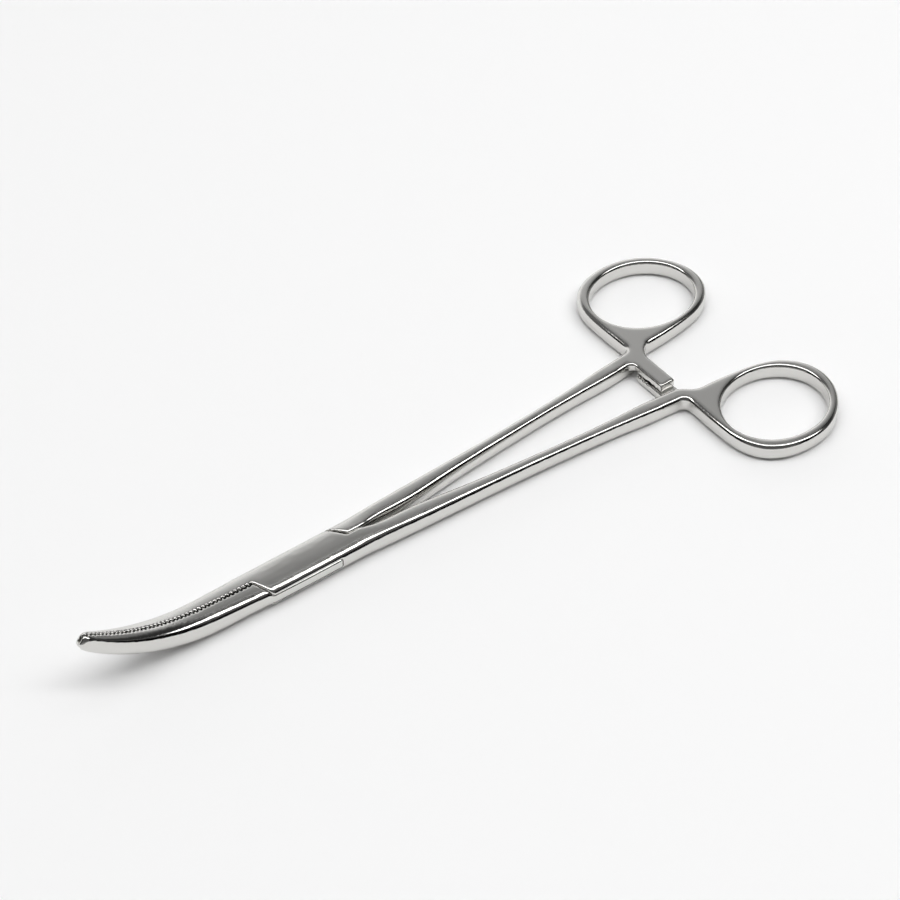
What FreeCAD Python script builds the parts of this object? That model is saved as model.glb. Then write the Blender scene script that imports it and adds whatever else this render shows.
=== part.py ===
import FreeCAD, Part
import math
import os

from FreeCAD import Vector

# Curved haemostatic forceps with a box lock, lying closed on a table.
# Millimetres. X runs from the tips (-X) to the finger rings (+X), Y across the instrument and Z up.
# The origin is on the pivot's axis at the level of the table, which touches the box and both rings.

# Box lock
boxHeight = 5.3          # over the two walls, at the middle
boxHalfWidth = 4.6       # from the middle plane to either side
groundDepth = 0.05       # taken off the underside to leave a flat
slotHeight = 2.4         # the gap between the two walls
slotSideClearance = 0.05 # above and below the tongue
slotEndRadius = 8.8      # round end of the slot about the pivot
slotEndClearance = 0.1   # between the tongue's round edge and the end of the slot
frontEdge = [(-11.8, 0.0), (-10.8, -2.2), (-9.2, -4.9)]  # curved front edge of the walls in plan
rearEdge = [(8.3, 4.4), (11.9, -0.35)]  # straight rear edge of the walls in plan
shoulderGapFront = 0.12  # between the front edge of the walls and the shoulder of the near jaw
shoulderGapRear = 0.45   # between the rear edge of the walls and the shoulder of the far shank
wallProud = 0.25         # how far the walls stand out over the near jaw at the front edge
frontRound = 0.22        # rounding of the walls' front edge
rearRound = 0.45         # rounding of the far shank's shoulder behind the walls
slotChamfer = 0.14       # on the outer edges of the slot
crotchRound = 1.0        # rounding of the far shank's inner edge where it leaves the box
faceClearance = 0.05     # each side of the middle plane where the two halves face each other
crotchX = 12.4           # where the shanks part

# Pivot
pinRadius = 1.6
boreClearance = 0.03     # radial, in the tongue only: the pin is pressed in the walls

# Jaws
jawBendStart = 19.5      # distance from the pivot at which the jaws begin to curve up
jawBendRadius = 49.0
jawLength = 35.2         # along the curve, from the start of the bend to the end of the tips
roundness = 3.2          # exponent of the rounded section: 2 is an ellipse, larger is squarer
innerRoundness = 4.0     # the same for the side towards the middle plane, near the box

# Serrations
toothPitch = 1.0
toothDepth = 0.55
toothMouth = 0.80        # share of the pitch
toothRoot = 0.30         # share of the pitch
toothClearance = 0.42    # between a crest and the root that it faces
toothStart = 12.3        # distance from the pivot of the first groove
jawTeethEnd = 50.6       # distance from the pivot of the last groove

# Shanks and finger rings
ringHeight = 4.2
shankEndX = 90.0
shankEndY = 7.45
shankEndHalfWidth = 1.9
shankEndSlope = 0.085
ringOuterRound = 1.15
ringHoleRound = 0.78
cornerRound = 1.8        # concave corner between the shank and the ring
ringSide = 14.85         # from the hole's middle to the ring's straight side at that corner
innerCornerReach = 15.75 # from the hole's middle to where the ring's inner side meets the shank
holeCentre = (111.75, 22.9)
holeHalfLength = 12.85
holeHalfWidth = 10.86
holeTilt = -4.0

# Ratchet
barLeftX = 94.6
barRightX = 98.7
barStep = 0.35           # how far the lower bar is wider than the upper one
barReach = 4.0           # past the middle plane
barGap = 0.1             # between the crests of the two bars
barRound = 0.5
barFlare = 1.3           # concave corner between the bar and the shank
barFlareRight = 1.3      # from the shank's inner edge to where the bar widens into the ring
ratchetPitch = 1.5
ratchetDepth = 0.5
ratchetTeeth = 3
ratchetInset = 0.45      # from the end of the bar to its first tooth
ratchetLean = 0.14       # how far the steep side of a tooth leans
webBulge = (-0.45, 0.775)  # from the chord to the middle of the concave edge between the bar and the ring

midZ = boxHeight / 2.0 - groundDepth
ringMidZ = ringHeight / 2.0
tongueHalf = slotHeight / 2.0 - slotSideClearance
tongueRadius = slotEndRadius - slotEndClearance
shankEnd = Vector(shankEndX, shankEndY, ringMidZ)
shankEndAlong = Vector(1.0, shankEndSlope, 0.0).normalize()


def roundedPoint(angle, halfWidth, halfHeight, power):
    # A point of a rounded section, across and up from its middle
    c = math.cos(angle)
    s = math.sin(angle)
    reach = (abs(c) ** power + abs(s) ** power) ** (-1.0 / power)
    return reach * c * halfWidth, reach * s * halfHeight


def spline(points):
    # A smooth curve through points that are spaced nearly evenly
    last = len(points) - 1.0
    curve = Part.BSplineCurve()
    curve.interpolate(Points=points, Parameters=[i / last for i in range(len(points))])
    return curve.toShape()


def place(centre, along, across, up):
    # A point of a section whose plane stands square to the direction along
    side = Vector(-along.y, along.x, 0.0)
    side.normalize()
    rise = along.cross(side)
    return centre + side * across + rise * up


def halfSection(centre, along, outer, inner, halfHeight, power, innerPower):
    # A section of one half, rounded outside and inside
    steps = 14
    outside = []
    inside = []
    for i in range(steps + 1):
        turn = math.pi / 2.0 - math.pi * i / steps
        across, up = roundedPoint(turn, outer, halfHeight, power)
        outside.append(place(centre, along, across, up))
        across, up = roundedPoint(-turn, inner, halfHeight, innerPower)
        inside.append(place(centre, along, -across, up))
    inside[0] = outside[-1]
    inside[-1] = outside[0]
    return Part.Wire([spline(outside), spline(inside)])


def jawPoint(distance):
    # A point of the jaws' middle line and its direction, by the length along it from the bend's start
    if distance <= 0.0:
        return Vector(-jawBendStart - distance, 0.0, midZ), Vector(1.0, 0.0, 0.0)
    turn = distance / jawBendRadius
    x = -jawBendStart - jawBendRadius * math.sin(turn)
    z = midZ + jawBendRadius * (1.0 - math.cos(turn))
    return Vector(x, 0.0, z), Vector(math.cos(turn), 0.0, -math.sin(turn))


# The closed pair of jaws and the box: the length along the jaws' middle line from the start of the bend
# (negative towards the pivot), the half-width, the half-height and how far the middle stands above that
# line. The first five round the tip.
jawStations = [
    (jawLength, 0.45, 0.62, 0.0),
    (jawLength - 0.2, 0.85, 1.08, 0.0),
    (jawLength - 0.6, 1.22, 1.48, 0.0),
    (jawLength - 1.3, 1.52, 1.74, 0.0),
    (jawLength - 2.6, 1.74, 1.90, 0.0),
    (jawLength - 7.0, 2.24, 2.14, 0.0),
    (22.3, 2.80, 2.38, 0.0),
    (16.8, 3.23, 2.56, 0.0),
    (11.6, 3.56, 2.72, 0.02),
    (6.5, 3.85, 2.86, 0.10),
    (1.5, 4.08, 2.85, 0.24),
    (-4.5, 4.33, 2.78, 0.13),
    (-10.0, 4.50, 2.69, 0.02),
    (-jawBendStart, boxHalfWidth, boxHeight / 2.0, 0.0),
    (-jawBendStart - 6.0, boxHalfWidth, boxHeight / 2.0, 0.0),
    (-jawBendStart - 9.4, boxHalfWidth, boxHeight / 2.0, 0.0),
    (-jawBendStart - crotchX, boxHalfWidth, boxHeight / 2.0, 0.0),
]


def mirrored(shape):
    return shape.mirror(Vector(0.0, 0.0, 0.0), Vector(0.0, 1.0, 0.0))


# The far shank from behind the crotch to the neck: x, middle line, inner and outer half-width, half-height,
# and the exponents of the outer and the inner side
shankStations = [
    (17.0, 1.70, 1.44, 3.08, 2.56, 3.0, innerRoundness),
    (25.0, 2.88, 2.28, 2.32, 2.44, 2.9, 3.6),
    (40.0, 3.93, 1.93, 1.93, 2.24, 2.9, 2.9),
    (55.0, 4.98, 1.52, 1.52, 2.08, 3.0, 3.0),
    (70.0, 6.05, 1.42, 1.42, 2.00, 3.2, 3.2),
    (82.0, 6.85, 1.68, 1.68, 2.04, 3.8, 3.8),
]

# The outside of the far ring in plan, measured from the middle of its hole, from the outer corner of the
# neck round the far side to the inner corner
ringOutline = [
    (-15.0, -5.4), (-14.95, 0.1), (-14.25, 5.1), (-11.95, 9.3), (-7.55, 12.3),
    (-1.75, 13.45), (4.75, 12.7), (10.55, 9.4), (14.35, 4.5), (15.65, -0.6),
    (14.35, -5.9), (10.55, -10.0), (4.75, -12.3), (-1.25, -13.3), (-7.25, -13.8),
]
# The inner corner of the neck, from where it leaves the ring to where it meets the shank
innerCorner = [(-10.35, -14.05), (-11.85, -14.7), (-13.05, -15.75), (-14.25, -16.48)]


def fromHole(point):
    return Vector(holeCentre[0] + point[0], holeCentre[1] + point[1], 0.0)


def shankMidZ(x):
    # The middle falls a little from the box to the rings, because the box is thicker
    return midZ + (ringMidZ - midZ) * (x - crotchX) / (shankEndX - crotchX)


def pairSections(relief):
    # Sections of the far half of the closed pair. They reach a little past the middle plane, where the
    # half is cut off later. relief is taken off near the box, so that the walls stand out over the jaw.
    over = 0.25
    fadeStart = jawBendStart + 6.0
    sections = []
    for distance, halfWidth, halfHeight, rise in jawStations:
        centre, along = jawPoint(distance)
        share = min(1.0, max(0.0, (centre.x + fadeStart) / (fadeStart + frontEdge[0][0] - 1.0)))
        less = relief * share * share * (3.0 - 2.0 * share)
        centre = centre + Vector(0.0, -over, rise)
        halfWidth = halfWidth - less + over
        halfHeight = halfHeight - less
        sections.append(halfSection(centre, along, halfWidth, over, halfHeight, roundness, innerRoundness))
    return sections


def farHalf():
    # The far half of the closed pair and the far shank, in one smooth body from the tips to the neck
    sections = pairSections(0.0)
    before = (crotchX, 0.0)
    for i, (x, y, inner, outer, halfHeight, power, innerPower) in enumerate(shankStations):
        along = shankEndAlong
        if i < len(shankStations) - 1:
            after = shankStations[i + 1]
            along = Vector(after[0] - before[0], after[1] - before[1], 0.0)
            along.normalize()
        before = (x, y)
        centre = Vector(x, y, shankMidZ(x))
        sections.append(halfSection(centre, along, outer, inner, halfHeight, power, innerPower))
    # The shank swells a trace past the neck's start and then sinks into the neck
    for step, swell in ((0.0, 0.03), (2.5, -0.12)):
        centre = shankEnd + shankEndAlong * step
        halfWidth = shankEndHalfWidth + swell
        halfHeight = ringMidZ + swell
        sections.append(halfSection(centre, shankEndAlong, halfWidth, halfWidth, halfHeight, 3.8, 3.8))
    return Part.makeLoft(sections, True, False)


def nearJaw():
    # The near half of the jaws, a little thinner than the box beside the walls
    return mirrored(Part.makeLoft(pairSections(wallProud), True, False))


def prism(points, bottom, top):
    corners = [Vector(x, y, bottom) for x, y in points]
    face = Part.Face(Part.makePolygon(corners + [corners[0]]))
    return face.extrude(Vector(0.0, 0.0, top - bottom))


def extruded(edges, bottom, top):
    face = Part.Face(Part.Wire(Part.__sortEdges__(edges)))
    face.translate(Vector(0.0, 0.0, bottom))
    return face.extrude(Vector(0.0, 0.0, top - bottom))


def line(start, end):
    return Part.LineSegment(start, end).toShape()


def arc(start, middle, end):
    return Part.Arc(start, middle, end).toShape()


def roundingProfile(start, out, top, radius):
    # The corner that a rounding of that radius leaves above it, standing on the level direction out
    def point(step, height):
        return start + out * step + Vector(0.0, 0.0, height - start.z)

    bend = radius * (1.0 - math.sqrt(0.5))
    above = top + 1.0
    edges = [
        line(point(-0.5, above), point(-0.5, top - radius)),
        line(point(-0.5, top - radius), point(0.0, top - radius)),
        arc(point(0.0, top - radius), point(bend, top - bend), point(radius, top)),
        line(point(radius, top), point(radius, above)),
        line(point(radius, above), point(-0.5, above)),
    ]
    return Part.Wire(edges)


def neckEdge(x, side):
    # A point on the neck's outer (side = 1) or inner (side = -1) edge in plan
    across = Vector(-shankEndAlong.y, shankEndAlong.x, 0.0)
    start = Vector(shankEndX, shankEndY, 0.0) + across * (side * shankEndHalfWidth)
    return start + shankEndAlong * ((x - start.x) / shankEndAlong.x)


def neckStart(side):
    across = Vector(-shankEndAlong.y, shankEndAlong.x, 0.0)
    return Vector(shankEndX, shankEndY, 0.0) + across * (side * shankEndHalfWidth)


def smooth(points, first, last):
    curve = Part.BSplineCurve()
    curve.interpolate(Points=points, InitialTangent=first, FinalTangent=last)
    return curve.toShape()


def filletChosen(shape, radius, chosen):
    # Rounds the level edges whose middle the test chooses
    edges = []
    for edge in shape.Edges:
        middle = edge.valueAt((edge.FirstParameter + edge.LastParameter) / 2.0)
        if edge.BoundBox.ZLength < 0.001 and chosen(middle):
            edges.append(edge)
    return shape.makeFillet(radius, edges)


def farRing():
    # The finger ring, its flat web and the neck in one plate, rounded along every edge
    ringAlong = Vector(0.0, 1.0, 0.0)
    corner = neckEdge(holeCentre[0] - ringSide, 1)
    turn = math.acos(shankEndAlong.dot(ringAlong))
    run = cornerRound * math.tan(turn / 2.0)
    cornerStart = corner - shankEndAlong * run
    cornerEnd = corner + ringAlong * run
    bisector = (ringAlong - shankEndAlong).normalize()
    cornerMiddle = corner + bisector * (cornerRound / math.cos(turn / 2.0) - cornerRound)
    ringPoints = [cornerEnd] + [fromHole(point) for point in ringOutline]
    ringBack = Vector(-1.0, -0.06, 0.0)
    innerEnd = neckEdge(holeCentre[0] - innerCornerReach, -1)
    innerPoints = [ringPoints[-1]] + [fromHole(point) for point in innerCorner] + [innerEnd]
    edges = [
        line(neckStart(-1), neckStart(1)),
        line(neckStart(1), cornerStart),
        arc(cornerStart, cornerMiddle, cornerEnd),
        smooth(ringPoints, ringAlong * 5.0, ringBack * 6.0),
        smooth(innerPoints, ringBack * 3.0, shankEndAlong * -1.5),
        line(innerPoints[-1], neckStart(-1)),
    ]
    plate = extruded(edges, 0.0, ringHeight)
    ellipse = Part.Ellipse(Vector(0.0, 0.0, 0.0), holeHalfLength, holeHalfWidth)
    hole = extruded([ellipse.toShape()], 0.0, ringHeight)
    hole.rotate(Vector(0.0, 0.0, 0.0), Vector(0.0, 0.0, 1.0), holeTilt)
    hole.translate(Vector(holeCentre[0], holeCentre[1], 0.0))
    plate = plate.cut(hole)
    middle = Vector(holeCentre[0], holeCentre[1], 0.0)

    def outerEdge(point):
        start = abs(point.x - shankEndX) < 0.1 and abs(point.y - shankEndY) < 0.1
        flat = Vector(point.x, point.y, 0.0)
        return not start and flat.distanceToPoint(middle) > holeHalfLength + 0.2

    def holeEdge(point):
        flat = Vector(point.x, point.y, 0.0)
        return flat.distanceToPoint(middle) < holeHalfLength + 0.2

    plate = filletChosen(plate, ringOuterRound, outerEdge)
    return filletChosen(plate, ringHoleRound, holeEdge)


def farBar(leftX):
    # The upper ratchet bar: its teeth point down and hold against opening
    bottom = ringMidZ + barGap / 2.0
    root = neckEdge(leftX - barFlare, -1)
    low = Vector(leftX, root.y - barFlare, 0.0)
    turn = barFlare * (1.0 - math.sqrt(0.5))
    right = Vector(barRightX, root.y - barFlareRight, 0.0)
    inner = fromHole(innerCorner[0])
    deep = inner + Vector(0.0, ringHoleRound * 2.0, 0.0)
    rightMiddle = right + (inner - right) * 0.5 + Vector(webBulge[0], webBulge[1], 0.0)
    left = root + Vector(barFlare, barFlare, 0.0)
    edges = [
        line(Vector(leftX, -barReach, 0.0), low),
        arc(low, Vector(low.x - turn, root.y - turn, 0.0), root),
        line(root, left),
        line(left, deep),
        line(deep, inner),
        arc(inner, rightMiddle, right),
        line(right, Vector(barRightX, -barReach, 0.0)),
        line(Vector(barRightX, -barReach, 0.0), Vector(leftX, -barReach, 0.0)),
    ]
    bar = extruded(edges, bottom, ringHeight)

    def topEdge(point):
        return point.z > ringHeight - 0.001 and point.y < root.y - 0.1

    bar = filletChosen(bar, barRound, topEdge)
    for i in range(ratchetTeeth):
        crest = -barReach + ratchetInset + i * ratchetPitch
        notch = [
            Vector(leftX - 1.0, crest, bottom - 0.001),
            Vector(leftX - 1.0, crest + ratchetLean, bottom + ratchetDepth),
            Vector(leftX - 1.0, crest + ratchetPitch, bottom - 0.001),
        ]
        face = Part.Face(Part.makePolygon(notch + [notch[0]]))
        bar = bar.cut(face.extrude(Vector(barRightX - leftX + 2.0, 0.0, 0.0)))
    return bar


def grooves(side, shift):
    # The cross grooves of one jaw, each square to the jaw's curve; side is 1 for the far jaw
    crest = -side * (toothDepth - toothClearance) / 2.0
    flank = (toothMouth - toothRoot) / 2.0 / toothDepth * toothPitch
    over = 0.04
    tools = []
    first = toothStart - jawBendStart
    count = int((jawLength - first) / toothPitch) + 1
    for i in range(-1, count):
        centre, direction = jawPoint(first + shift + i * toothPitch)
        normal = Vector(-direction.z, 0.0, direction.x)
        mouth = toothMouth * toothPitch / 2.0 + flank * over
        root = toothRoot * toothPitch / 2.0
        corners = []
        for step, depth in ((-mouth, -over), (-root, toothDepth), (root, toothDepth), (mouth, -over)):
            corners.append(centre + direction * step + Vector(0.0, crest + side * depth, 0.0) - normal * 5.0)
        face = Part.Face(Part.makePolygon(corners + [corners[0]]))
        tools.append(face.extrude(normal * 10.0))
    return tools


def jawOutline(side):
    # In plan: the part of the closed pair's outline that belongs to one jaw, up to where the box begins
    crest = -side * (toothDepth - toothClearance) / 2.0
    face = side * faceClearance
    wide = side * 20.0
    return [
        (-70.0, face), (-jawTeethEnd, face), (-jawTeethEnd, crest), (-toothStart, crest),
        (-toothStart, face), (frontEdge[0][0] - shoulderGapFront, face),
        (frontEdge[0][0] - shoulderGapFront, wide), (-70.0, wide),
    ]


def rearLine(shift):
    # The rear edge of the walls in plan, moved by shift away from the pivot
    a = Vector(rearEdge[0][0], rearEdge[0][1], 0.0)
    b = Vector(rearEdge[1][0], rearEdge[1][1], 0.0)
    run = b - a
    run.normalize()
    out = Vector(-run.y, run.x, 0.0)
    return a + out * shift, b + out * shift, run


def slotShape(radius, face, halfHeight, rearCorners):
    # The space of the tongue: a disc about the pivot, open to the near jaw and to the far shank
    low = midZ - halfHeight
    high = midZ + halfHeight
    disc = Part.makeCylinder(radius, high - low, Vector(0.0, 0.0, low))
    reach = -frontEdge[0][0] + shoulderGapFront
    front = prism([(-reach, -20.0), (0.0, -20.0), (0.0, face), (-reach, face)], low, high)
    rear = prism([(0.0, -face)] + rearCorners + [(0.0, 20.0)], low, high)
    return disc.fuse([front, rear])


def frontRounding(start, middle, end):
    # Rounds the top of the walls' curved front edge
    curve = Part.Arc(start, middle, end).toShape().Curve
    centre = Vector(curve.Center.x, curve.Center.y, 0.0)
    out = (centre - start).normalize()
    profile = Part.Face(roundingProfile(start, out, midZ + boxHeight / 2.0, frontRound))
    # The cutter starts 2 degrees before the edge and ends past it
    profile.rotate(centre, Vector(0.0, 0.0, 1.0), -2.0)
    return profile.revolve(centre, Vector(0.0, 0.0, 1.0), 20.0)


def slotChamfers():
    # Bevels the outer edges of the slot on the near side
    depth = (1.0 - (slotHeight / boxHeight) ** roundness) ** (1.0 / roundness) * boxHalfWidth
    startX = -slotEndRadius - 1.5
    tools = []
    for z in (midZ - slotHeight / 2.0, midZ + slotHeight / 2.0):
        corners = [
            Vector(startX, -depth - slotChamfer, z),
            Vector(startX, -depth, z + slotChamfer),
            Vector(startX, -depth + slotChamfer, z),
            Vector(startX, -depth, z - slotChamfer),
        ]
        face = Part.Face(Part.makePolygon(corners + [corners[0]]))
        # It ends just short of the slot's round end
        run = math.sqrt(slotEndRadius ** 2 - depth ** 2) - startX - 0.1
        tools.append(face.extrude(Vector(run, 0.0, 0.0)))
    return tools


def crotchRounding():
    # Rounds the far shank's inner edge, from the rear edge of the walls to where its own section is round
    out = Vector(0.0, 1.0, 0.0)
    wires = []
    # How far behind the crotch, how far from the middle plane, and the share of the full radius
    stations = ((-2.4, 0.0, 1.0), (0.0, 0.0, 1.0), (2.6, 0.06, 0.95), (5.2, 0.45, 0.8))
    for behind, y, share in stations:
        x = crotchX + behind
        start = Vector(x, faceClearance + y, 0.0)
        wires.append(roundingProfile(start, out, shankMidZ(x) + boxHeight / 2.0, crotchRound * share))
    return Part.makeLoft(wires, True, False)


def boxHalf(oval, shank, ring, bar):
    low = -5.0
    high = 30.0
    farJaw = prism(jawOutline(1), low, high)
    a, b, run = rearLine(0.0)
    cornerX = b.x + (-faceClearance - b.y) * run.x / run.y
    left = frontEdge[0][0] - shoulderGapFront
    start = Vector(frontEdge[0][0], frontEdge[0][1], 0.0)
    middle = Vector(frontEdge[1][0], frontEdge[1][1], 0.0)
    end = Vector(frontEdge[2][0], frontEdge[2][1], 0.0)
    corners = [
        end, Vector(end.x, -20.0, 0.0), Vector(crotchX, -20.0, 0.0), Vector(crotchX, -faceClearance, 0.0),
        Vector(cornerX, -faceClearance, 0.0), a, Vector(a.x, 20.0, 0.0), Vector(left, 20.0, 0.0),
        Vector(left, faceClearance, 0.0), Vector(start.x, faceClearance, 0.0), start,
    ]
    edges = [line(p, q) for p, q in zip(corners, corners[1:])]
    edges.append(arc(start, middle, end))
    walls = extruded(edges, low, high)
    slotRear = [(crotchX, -faceClearance), (crotchX, 20.0)]
    walls = walls.cut(slotShape(slotEndRadius, faceClearance, slotHeight / 2.0, slotRear))
    walls = oval.common(walls).cut([frontRounding(start, middle, end)] + slotChamfers())
    jaw = oval.common(farJaw).cut(grooves(1, 0.0))
    body = jaw.fuse(walls)
    body = body.cut(Part.makeCylinder(pinRadius, 40.0, Vector(0.0, 0.0, -10.0)))
    return body.fuse(shank).fuse(ring).fuse(bar)


def tongueHalfShape(oval, jaws, shank, ring, bar):
    low = -5.0
    high = 30.0
    jawSpace = prism(jawOutline(-1), low, high)
    gap = shoulderGapFront
    start = Vector(frontEdge[0][0] - gap, frontEdge[0][1], 0.0)
    middle = Vector(frontEdge[1][0] - gap, frontEdge[1][1], 0.0)
    end = Vector(frontEdge[2][0] - gap, frontEdge[2][1], 0.0)
    corners = [end, Vector(end.x, -20.0, 0.0), Vector(start.x, -20.0, 0.0), start]
    edges = [line(p, q) for p, q in zip(corners, corners[1:])]
    edges.append(arc(start, middle, end))
    shoulder = extruded(edges, low, high).cut(
        Part.makeBox(40.0, 2.0, 40.0, Vector(-30.0, -faceClearance, low)))
    a, b, run = rearLine(shoulderGapRear)
    cornerX = b.x + (faceClearance - b.y) * run.x / run.y
    face = faceClearance
    root = prism([(cornerX, face), (crotchX, face), (crotchX, 20.0), (a.x, 20.0), (a.x, a.y)], low, high)
    inside = rearLine(shoulderGapRear + 0.6)[0]
    tongueRear = [(crotchX - 0.4, face), (crotchX - 0.1, 0.5), (inside.x, inside.y), (inside.x, 20.0)]
    tongue = slotShape(tongueRadius, -faceClearance, tongueHalf, tongueRear)
    jaw = jaws.common(jawSpace).cut(grooves(-1, toothPitch / 2.0))
    noseProfile = roundingProfile(a, Vector(-run.y, run.x, 0.0), midZ + boxHeight / 2.0, rearRound)
    nose = Part.Face(noseProfile).extrude(run * 8.0)
    root = oval.common(root).cut([nose, crotchRounding()])
    tongue = oval.common(tongue).cut(shoulder)
    body = jaw.fuse([jaws.common(shoulder), tongue, root])
    body = body.cut(Part.makeCylinder(pinRadius + boreClearance, 40.0, Vector(0.0, 0.0, -10.0)))
    return body.fuse(shank.cut(crotchRounding())).fuse(ring).fuse(bar)


def ground(shape):
    # The underside is ground to one level, where the instrument lies
    return shape.cut(Part.makeBox(400.0, 200.0, 10.0, Vector(-200.0, -100.0, -10.0)))


def export(name, shape):
    shape.exportStep(f"parts/{name}.step")
    print(name, shape.ShapeType, len(shape.Solids), shape.isValid(), round(shape.Volume, 2), len(shape.Faces))


def main():
    os.makedirs("parts", exist_ok=True)
    far = farHalf()
    ahead = Part.makeBox(100.0 + crotchX, 20.0, 40.0, Vector(-100.0, 0.0, -5.0))
    behind = Part.makeBox(100.0, 20.0, 40.0, Vector(crotchX, faceClearance, -5.0))
    pair = far.common(ahead)
    oval = pair.fuse(mirrored(pair))
    shank = far.common(behind)
    ring = farRing()
    bar = farBar(barLeftX)
    lowBar = farBar(barLeftX - barStep)
    lowBar.rotate(Vector(0.0, 0.0, ringMidZ), Vector(1.0, 0.0, 0.0), 180.0)
    female = boxHalf(oval, mirrored(shank), mirrored(ring), lowBar)
    male = tongueHalfShape(oval, nearJaw(), shank, ring, bar)
    pin = oval.common(Part.makeCylinder(pinRadius, 40.0, Vector(0.0, 0.0, -10.0)))
    export("box_half", ground(female))
    export("tongue_half", ground(male))
    export("pivot_pin", ground(pin))


main()
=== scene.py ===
import math
import bpy
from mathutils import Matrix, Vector


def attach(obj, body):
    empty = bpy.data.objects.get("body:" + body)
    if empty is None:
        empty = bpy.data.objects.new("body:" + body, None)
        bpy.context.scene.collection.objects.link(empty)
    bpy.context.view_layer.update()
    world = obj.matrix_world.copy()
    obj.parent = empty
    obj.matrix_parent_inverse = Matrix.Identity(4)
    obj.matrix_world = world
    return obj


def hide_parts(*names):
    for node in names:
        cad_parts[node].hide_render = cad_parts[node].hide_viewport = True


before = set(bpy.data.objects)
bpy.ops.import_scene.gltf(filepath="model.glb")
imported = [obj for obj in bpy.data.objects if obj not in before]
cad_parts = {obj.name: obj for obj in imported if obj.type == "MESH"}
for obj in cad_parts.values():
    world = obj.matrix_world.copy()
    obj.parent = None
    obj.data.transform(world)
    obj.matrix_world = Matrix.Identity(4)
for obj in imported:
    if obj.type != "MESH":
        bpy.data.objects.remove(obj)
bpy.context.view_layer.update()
print("frame loaded")


def hexColour(code):
    # sRGB hex to the linear values that the shaders use
    channels = [int(code[i:i + 2], 16) / 255.0 for i in (1, 3, 5)]
    linear = [c / 12.92 if c <= 0.04045 else ((c + 0.055) / 1.055) ** 2.4 for c in channels]
    return (*linear, 1.0)


def addNode(tree, kind, settings=None, values=None, links=None):
    # One node with its settings, its socket values and the sockets that feed it
    node = tree.nodes.new(kind)
    for name, value in (settings or {}).items():
        setattr(node, name, value)
    for name, value in (values or {}).items():
        node.inputs[name].default_value = value
    for name, source in (links or {}).items():
        tree.links.new(source, node.inputs[name])
    return node


def emptyMaterial(name):
    material = bpy.data.materials.new(name)
    material.use_nodes = True
    material.node_tree.nodes.clear()
    return material


# Martensitic stainless steel, glass-bead blasted on the flats and buffed on the rounds. The eye gets a soft
# grey mirror: bright and dark bands along the rounds, a fine grain on the flats, and no colour.
steel = {
    "colour": "#d9d8d5",
    "grainSize": 0.00025,     # a blasted pit is about 0.05 mm; drawn coarser so that it shows
    "grainDetail": 3.0,
    "grainRoughness": 0.6,
    "grainStrength": 0.06,
    "grainDepth": 0.00002,
    "flatStart": 0.93,        # how level a face is, from edge-on 0 to level 1, where the satin begins
    "flatEnd": 0.99,          # and where it is full
    "satinRoughness": 0.30,
    "polishedRoughness": 0.11,
}


def steelMaterial(name):
    material = emptyMaterial(name)
    tree = material.node_tree
    place = addNode(tree, "ShaderNodeTexCoord")
    geometry = addNode(tree, "ShaderNodeNewGeometry")
    split = addNode(tree, "ShaderNodeSeparateXYZ", links={"Vector": geometry.outputs["Normal"]})
    level = addNode(tree, "ShaderNodeMath", {"operation": "ABSOLUTE"}, links={0: split.outputs["Z"]})
    flat = addNode(tree, "ShaderNodeMapRange", {"interpolation_type": "SMOOTHSTEP"},
                   {"From Min": steel["flatStart"], "From Max": steel["flatEnd"]},
                   {"Value": level.outputs["Value"]})
    grain = addNode(tree, "ShaderNodeTexNoise", None,
                    {"Scale": 1.0 / steel["grainSize"], "Detail": steel["grainDetail"],
                     "Roughness": steel["grainRoughness"]},
                    {"Vector": place.outputs["Object"]})
    roughness = addNode(tree, "ShaderNodeMapRange", None,
                        {"To Min": steel["polishedRoughness"], "To Max": steel["satinRoughness"]},
                        {"Value": flat.outputs["Result"]})
    bump = addNode(tree, "ShaderNodeBump", None,
                   {"Strength": steel["grainStrength"], "Distance": steel["grainDepth"]},
                   {"Height": grain.outputs["Fac"]})
    shader = addNode(tree, "ShaderNodeBsdfPrincipled", None,
                     {"Base Color": hexColour(steel["colour"]), "Metallic": 1.0},
                     {"Roughness": roughness.outputs["Result"], "Normal": bump.outputs["Normal"]})
    addNode(tree, "ShaderNodeOutputMaterial", links={"Surface": shader.outputs["BSDF"]})
    return material


# Each half is dressed in a copy of its solid, drawn again on an even grid and eased a little, so that the
# light runs along the rounded edges without steps
skin = {
    "weld": 0.000001,
    "cell": 0.00024,          # about one picture element of the camera
    "easeSteps": 6,
    "easeShare": 0.5,
    "teethEnd": -0.0118,      # the serrations run from the tips to this x, and stay crisp
    "teethReach": 0.0008,     # so far from the middle plane
    "ringStart": 0.1005,      # the finger rings lie beyond this x, and are buffed rounder
    "ringSteps": 14,
}


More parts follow.
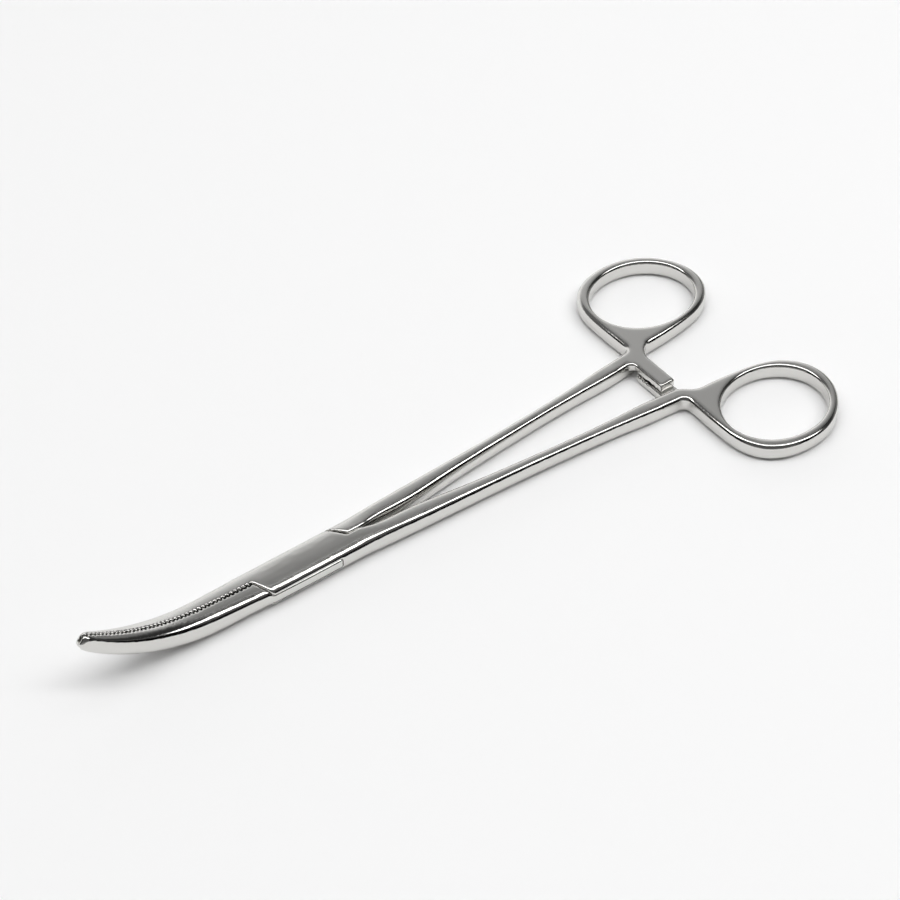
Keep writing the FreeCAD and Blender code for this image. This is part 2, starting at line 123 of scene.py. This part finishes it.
def dressedHalf(name, body, nodeNames):
    bpy.ops.object.select_all(action="DESELECT")
    for nodeName in nodeNames:
        copy = bpy.data.objects.new(name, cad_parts[nodeName].data.copy())
        bpy.context.scene.collection.objects.link(copy)
        copy.select_set(True)
        bpy.context.view_layer.objects.active = copy
    if len(nodeNames) > 1:
        bpy.ops.object.join()
    piece = bpy.context.object
    bpy.ops.object.mode_set(mode="EDIT")
    bpy.ops.mesh.select_all(action="SELECT")
    bpy.ops.mesh.remove_doubles(threshold=skin["weld"])
    bpy.ops.object.mode_set(mode="OBJECT")
    grid = piece.modifiers.new("grid", "REMESH")
    grid.mode = "VOXEL"
    grid.voxel_size = skin["cell"]
    bpy.ops.object.modifier_apply(modifier="grid")
    eased = []
    buffed = []
    for vertex in piece.data.vertices:
        x, y = vertex.co.xy
        if x > skin["teethEnd"] or abs(y) > skin["teethReach"]:
            eased.append(vertex.index)
        if x > skin["ringStart"]:
            buffed.append(vertex.index)
    passes = [("eased", eased, skin["easeSteps"]), ("buffed", buffed, skin["ringSteps"])]
    for group, members, steps in passes:
        piece.vertex_groups.new(name=group).add(members, 1.0, "REPLACE")
        ease = piece.modifiers.new(group, "SMOOTH")
        ease.factor = skin["easeShare"]
        ease.iterations = steps
        ease.vertex_group = group
        bpy.ops.object.modifier_apply(modifier=group)
    bpy.ops.object.shade_smooth()
    piece.data.materials.clear()
    piece.data.materials.append(steelMaterial("satinSteel_" + name))
    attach(piece, body)
    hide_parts(*nodeNames)
    print(name, len(piece.data.polygons), "faces")


dressedHalf("boxHalfSkin", "box_body", ["pivot_pin", "box_half"])
dressedHalf("tongueHalfSkin", "tongue_body", ["tongue_half"])
print("steel done")

# Matt white paper. The eye gets an even pale ground that takes soft shadows and has no highlight.
paper = {
    "colour": "#f8f8f8",
    "roughness": 0.9,
    "size": 6.0,
    "drop": 0.00002,          # clear of the steel's underside
}
bpy.ops.object.select_all(action="DESELECT")
bpy.ops.mesh.primitive_plane_add(size=paper["size"], location=(0.0, 0.0, -paper["drop"]))
floor = bpy.context.object
floor.name = "floor"
floorMaterial = emptyMaterial("paperWhite")
floorShader = addNode(floorMaterial.node_tree, "ShaderNodeBsdfPrincipled", None,
                      {"Base Color": hexColour(paper["colour"]), "Roughness": paper["roughness"]})
addNode(floorMaterial.node_tree, "ShaderNodeOutputMaterial", links={"Surface": floorShader.outputs["BSDF"]})
floor.data.materials.append(floorMaterial)
print("floor done")

# The room: bright paper at the horizon ahead, a long lamp box overhead that ends on both sides, and dark
# behind the camera and on the right. Each light is a list of heights with its strength there. Height 0 is the
# horizon ahead of the camera, 0.5 is overhead and 1 is the horizon behind the camera.
room = {
    "away": (0.6, 0.8, 0.0),          # the way the camera looks, in plan
    "right": (0.8, -0.6, 0.0),
    "paperLight": [(0.0, 1.0), (0.13, 1.0), (0.19, 0.80), (0.22, 0.48), (0.245, 0.29), (0.265, 0.20)],
    "ceilingLight": [(0.30, 0.13), (0.43, 0.13), (0.45, 0.4)],
    "lampLight": [(0.47, 5.0), (0.52, 5.0)],
    "behindLight": [(0.545, 0.3), (0.59, 0.10), (0.9, 0.10), (1.0, 0.4)],
    "lampStart": 0.71,                # share of a direction that points sideways, where the lamp box ends
    "lampEnd": 0.80,
    "lampRest": 0.03,
    "aheadStart": 0.15,               # the same to the right for the paper ahead, which ends sooner
    "aheadEnd": 0.42,
    "aheadRest": 0.24,
    "overheadStart": 0.40,            # height where the lamp's ends take over from the paper's
    "overheadEnd": 0.46,
}
world = bpy.data.worlds.new("studioRoom")
bpy.context.scene.world = world
world.use_nodes = True
tree = world.node_tree
tree.nodes.clear()
place = addNode(tree, "ShaderNodeTexCoord")
ahead = addNode(tree, "ShaderNodeVectorMath", {"operation": "DOT_PRODUCT"}, {1: room["away"]},
                {0: place.outputs["Generated"]})
split = addNode(tree, "ShaderNodeSeparateXYZ", links={"Vector": place.outputs["Generated"]})
angle = addNode(tree, "ShaderNodeMath", {"operation": "ARCTAN2"},
                links={0: split.outputs["Z"], 1: ahead.outputs["Value"]})
height = addNode(tree, "ShaderNodeMath", {"operation": "DIVIDE"}, {1: math.pi}, {0: angle.outputs["Value"]})
ramp = addNode(tree, "ShaderNodeValToRGB", links={"Fac": height.outputs["Value"]})
stops = room["paperLight"] + room["ceilingLight"] + room["lampLight"] + room["behindLight"]
ramp.color_ramp.elements[0].position = stops[0][0]
ramp.color_ramp.elements[1].position = stops[-1][0]
for stop in stops[1:-1]:
    ramp.color_ramp.elements.new(stop[0])
for element, (position, value) in zip(ramp.color_ramp.elements, stops):
    element.position = position
    element.color = (value, value, value, 1.0)
side = addNode(tree, "ShaderNodeVectorMath", {"operation": "DOT_PRODUCT"}, {1: room["right"]},
               {0: place.outputs["Generated"]})
sideways = addNode(tree, "ShaderNodeMath", {"operation": "ABSOLUTE"}, links={0: side.outputs["Value"]})
lampShare = addNode(tree, "ShaderNodeMapRange", {"interpolation_type": "SMOOTHSTEP"},
                    {"From Min": room["lampStart"], "From Max": room["lampEnd"],
                     "To Min": 1.0, "To Max": room["lampRest"]},
                    {"Value": sideways.outputs["Value"]})
paperShare = addNode(tree, "ShaderNodeMapRange", {"interpolation_type": "SMOOTHSTEP"},
                     {"From Min": room["aheadStart"], "From Max": room["aheadEnd"],
                      "To Min": 1.0, "To Max": room["aheadRest"]},
                     {"Value": side.outputs["Value"]})
overhead = addNode(tree, "ShaderNodeMapRange", None,
                   {"From Min": room["overheadStart"], "From Max": room["overheadEnd"]},
                   {"Value": height.outputs["Value"]})
share = addNode(tree, "ShaderNodeMix", None, None,
                {"Factor": overhead.outputs["Result"], "A": paperShare.outputs["Result"],
                 "B": lampShare.outputs["Result"]})
back = addNode(tree, "ShaderNodeBackground", None, None,
               {"Color": ramp.outputs["Color"], "Strength": share.outputs["Result"]})
addNode(tree, "ShaderNodeOutputWorld", links={"Surface": back.outputs["Background"]})

# A wide cloth light over the table, for the floor alone: the shadows stay soft and fall to the left
key = {
    "place": (0.30, -0.10, 0.95),
    "size": 1.4,
    "power": 5.8,
}
bpy.ops.object.light_add(type="AREA", location=key["place"])
keyLight = bpy.context.object
keyLight.rotation_euler = (-Vector(key["place"])).to_track_quat("-Z", "Y").to_euler()
keyLight.data.size = key["size"]
keyLight.data.energy = key["power"]
keyLight.visible_glossy = False
print("room done")

# Camera at the photograph's angle
view = {
    "place": (-0.1806, -0.2924, 0.3688),
    "look": (0.4304, 0.5739, -0.6967),
    "lens": 96.33,
    "sensor": 36.0,           # lens and sensor in millimetres
    "nearest": 0.01,
}
camera = bpy.data.objects.new("camera", bpy.data.cameras.new("camera"))
bpy.context.scene.collection.objects.link(camera)
camera.location = view["place"]
camera.rotation_euler = Vector(view["look"]).to_track_quat("-Z", "Y").to_euler()
camera.data.lens = view["lens"]
camera.data.sensor_width = view["sensor"]
camera.data.clip_start = view["nearest"]
bpy.context.scene.camera = camera
bpy.context.scene.view_settings.view_transform = "Standard"
print("camera done")
